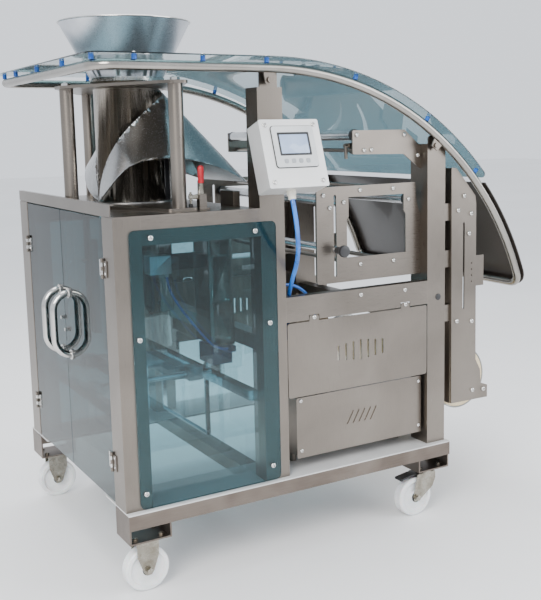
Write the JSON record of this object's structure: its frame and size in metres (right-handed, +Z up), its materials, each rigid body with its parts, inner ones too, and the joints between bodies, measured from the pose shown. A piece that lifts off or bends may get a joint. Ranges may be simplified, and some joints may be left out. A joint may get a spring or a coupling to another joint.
{
  "type": "vertical form fill sealer",
  "caption": "Wheeled stainless bagging machine: a funnel and forming tube with a film shoulder over a clear-doored sealing cabinet, film feed, reel arms and a curved clear hood.",
  "frame": {"origin": "on the floor under the middle of the whole machine", "axes": "+Z up, +X from the doors towards the film reel, +Y from the operator's side to the rear"},
  "size_m": [1.6395, 1.1948, 1.749],
  "materials": {
    "brushed_steel": "brushed stainless sheet",
    "polished_steel": "finely ground stainless",
    "roller_steel": "ground aluminium tube",
    "shelf_grey": "light grey satin",
    "clear_sheet": "teal tinted clear polycarbonate",
    "brown_sheet": "dark brown opaque sheet",
    "blue_plastic": "blue moulded plastic",
    "white_steel": "near-white satin",
    "terminal_grey": "light grey moulded",
    "button_grey": "light grey moulded",
    "film_cream": "wound film, cream",
    "jaw_metal": "machined aluminium",
    "belt_brown": "brown pull belt on dark block",
    "blue_hose": "blue tube",
    "black_plastic": "black moulded",
    "white_nylon": "white nylon"
  },
  "bodies": {
    "frame": {"base_frame": "brushed_steel", "base_shelf": "shelf_grey", "cabinet_posts": "brushed_steel", "cabinet_rails": "brushed_steel", "table_top": "brushed_steel", "columns": "brushed_steel", "crossrails": "brushed_steel", "cover_plates": "brushed_steel", "enclosure": "brushed_steel", "window_sheets": "clear_sheet", "hinge_leaves": "brushed_steel", "forming_tube": "polished_steel", "forming_frame": "brushed_steel", "forming_shoulder": "polished_steel", "hood_frame": "brushed_steel", "hood_sheet": "clear_sheet", "hood_tail": "brown_sheet", "hood_spacers": "blue_plastic", "hood_brackets": "brushed_steel", "hmi_box": "white_steel", "terminal": "terminal_grey", "feed_plates": "brushed_steel", "upper_arms": "brushed_steel", "reel_arms": "brushed_steel", "jaw_rails": "brushed_steel", "inner_frame": "brushed_steel", "castor_mounts": "brushed_steel", "panel_screws": "brushed_steel", "hmi_cable": "blue_hose", "air_hose": "blue_hose", "valve_hose": "blue_hose"},
    "door_front": {"door_front": "clear_sheet", "door_fittings_front": "polished_steel"},
    "door_rear": {"door_rear": "clear_sheet", "door_fittings_rear": "polished_steel"},
    "button_1": {"button_1": "button_grey"},
    "button_2": {"button_2": "button_grey"},
    "button_3": {"button_3": "button_grey"},
    "button_4": {"button_4": "button_grey"},
    "roller_feed_left": {"roller_feed_left": "roller_steel"},
    "roller_feed_right": {"roller_feed_right": "roller_steel"},
    "roller_top": {"roller_top": "roller_steel"},
    "roller_unwind": {"roller_unwind": "roller_steel"},
    "roller_adjust": {"roller_adjust": "roller_steel"},
    "film_reel": {"film_reel": "film_cream"},
    "jaw_left": {"jaw_left": "jaw_metal"},
    "jaw_right": {"jaw_right": "jaw_metal"},
    "belt_drive_front": {"belt_drive_front": "belt_brown"},
    "belt_drive_rear": {"belt_drive_rear": "belt_brown"},
    "seal_bar": {"seal_bar": "jaw_metal"},
    "wheel_front_left": {"wheel_front_left": "white_nylon"},
    "swivel_front": {"swivel_fork_front": "polished_steel"},
    "wheel_front_right": {"wheel_front_right": "white_nylon"},
    "brake_front": {"brake_pedal_front": "black_plastic"},
    "wheel_rear_left": {"wheel_rear_left": "white_nylon"},
    "swivel_rear": {"swivel_fork_rear": "polished_steel"},
    "wheel_rear_right": {"wheel_rear_right": "white_nylon"},
    "brake_rear": {"brake_pedal_rear": "black_plastic"},
    "clamp_front": {"clamp_lever_front": "polished_steel"},
    "clamp_rear": {"clamp_lever_rear": "polished_steel"}
  },
  "joints": [
    {"name": "door_front_hinge", "type": "hinge", "parent": "frame", "child": "door_front", "pos_m": [-0.7604, -0.3466, 0.687], "axis": [0, 0, 1], "range_deg": [0, 110]},
    {"name": "door_rear_hinge", "type": "hinge", "parent": "frame", "child": "door_rear", "pos_m": [-0.7604, 0.4594, 0.687], "axis": [0, 0, -1], "range_deg": [0, 110]},
    {"name": "button_1_press", "type": "slide", "parent": "frame", "child": "button_1", "axis": [0, 0.9483, -0.3173], "range_m": [0, 0.001], "stiffness_N_per_m": 400},
    {"name": "button_2_press", "type": "slide", "parent": "frame", "child": "button_2", "axis": [0, 0.9483, -0.3173], "range_m": [0, 0.001], "stiffness_N_per_m": 400},
    {"name": "button_3_press", "type": "slide", "parent": "frame", "child": "button_3", "axis": [0, 0.9483, -0.3173], "range_m": [0, 0.001], "stiffness_N_per_m": 400},
    {"name": "button_4_press", "type": "slide", "parent": "frame", "child": "button_4", "axis": [0, 0.9483, -0.3173], "range_m": [0, 0.001], "stiffness_N_per_m": 400},
    {"name": "roller_feed_left_spin", "type": "hinge", "parent": "frame", "child": "roller_feed_left", "pos_m": [0.0576, 0.0564, 1.147], "axis": [0, 1, 0], "continuous": true},
    {"name": "roller_feed_right_spin", "type": "hinge", "parent": "frame", "child": "roller_feed_right", "pos_m": [0.3276, 0.0564, 1.144], "axis": [0, 1, 0], "continuous": true},
    {"name": "roller_top_spin", "type": "hinge", "parent": "frame", "child": "roller_top", "pos_m": [0.1136, 0.0564, 1.366], "axis": [0, 1, 0], "continuous": true},
    {"name": "roller_unwind_spin", "type": "hinge", "parent": "frame", "child": "roller_unwind", "pos_m": [0.5376, 0.0564, 1.147], "axis": [0, 1, 0], "continuous": true},
    {"name": "roller_adjust_height", "type": "slide", "parent": "frame", "child": "roller_adjust", "axis": [0, 0, 1], "range_m": [-0.07, 0.1]},
    {"name": "film_reel_spin", "type": "hinge", "parent": "frame", "child": "film_reel", "pos_m": [0.6146, 0.0564, 0.455], "axis": [0, 1, 0], "continuous": true},
    {"name": "jaw_left_close", "type": "slide", "parent": "frame", "child": "jaw_left", "axis": [1, 0, 0], "range_m": [0, 0.058]},
    {"name": "jaw_right_close", "type": "slide", "parent": "frame", "child": "jaw_right", "axis": [-1, 0, 0], "range_m": [0, 0.058]},
    {"name": "belt_front_open", "type": "slide", "parent": "frame", "child": "belt_drive_front", "axis": [0, -1, 0], "range_m": [0, 0.035]},
    {"name": "belt_rear_open", "type": "slide", "parent": "frame", "child": "belt_drive_rear", "axis": [0, 1, 0], "range_m": [0, 0.035]},
    {"name": "seal_bar_press", "type": "slide", "parent": "frame", "child": "seal_bar", "axis": [1, 0, 0], "range_m": [0, 0.013]},
    {"name": "wheel_front_left_spin", "type": "hinge", "parent": "frame", "child": "wheel_front_left", "pos_m": [-0.6884, -0.4016, 0.07], "axis": [0, 1, 0], "continuous": true},
    {"name": "castor_front_swivel", "type": "hinge", "parent": "frame", "child": "swivel_front", "pos_m": [0.3916, -0.4016, 0.147], "axis": [0, 0, 1], "continuous": true},
    {"name": "wheel_front_right_spin", "type": "hinge", "parent": "swivel_front", "child": "wheel_front_right", "pos_m": [0.3416, -0.4016, 0.07], "axis": [0, 1, 0], "continuous": true},
    {"name": "brake_front_press", "type": "hinge", "parent": "swivel_front", "child": "brake_front", "pos_m": [0.3506, -0.4016, 0.149], "axis": [0, -1, 0], "range_deg": [0, 6]},
    {"name": "wheel_rear_left_spin", "type": "hinge", "parent": "frame", "child": "wheel_rear_left", "pos_m": [-0.6884, 0.5144, 0.07], "axis": [0, 1, 0], "continuous": true},
    {"name": "castor_rear_swivel", "type": "hinge", "parent": "frame", "child": "swivel_rear", "pos_m": [0.3916, 0.5144, 0.147], "axis": [0, 0, 1], "continuous": true},
    {"name": "wheel_rear_right_spin", "type": "hinge", "parent": "swivel_rear", "child": "wheel_rear_right", "pos_m": [0.3416, 0.5144, 0.07], "axis": [0, 1, 0], "continuous": true},
    {"name": "brake_rear_press", "type": "hinge", "parent": "swivel_rear", "child": "brake_rear", "pos_m": [0.3506, 0.5144, 0.149], "axis": [0, -1, 0], "range_deg": [0, 6]},
    {"name": "clamp_front_open", "type": "hinge", "parent": "frame", "child": "clamp_front", "pos_m": [-0.4304, -0.3386, 1.187], "axis": [0, 1, 0], "range_deg": [0, 70]},
    {"name": "clamp_rear_open", "type": "hinge", "parent": "frame", "child": "clamp_rear", "pos_m": [-0.4304, 0.4514, 1.187], "axis": [0, 1, 0], "range_deg": [0, 70]}
  ],
  "couplings": [
    {"joint": "jaw_right_close", "follows": "jaw_left_close", "ratio": 1},
    {"joint": "belt_rear_open", "follows": "belt_front_open", "ratio": 1}
  ]
}
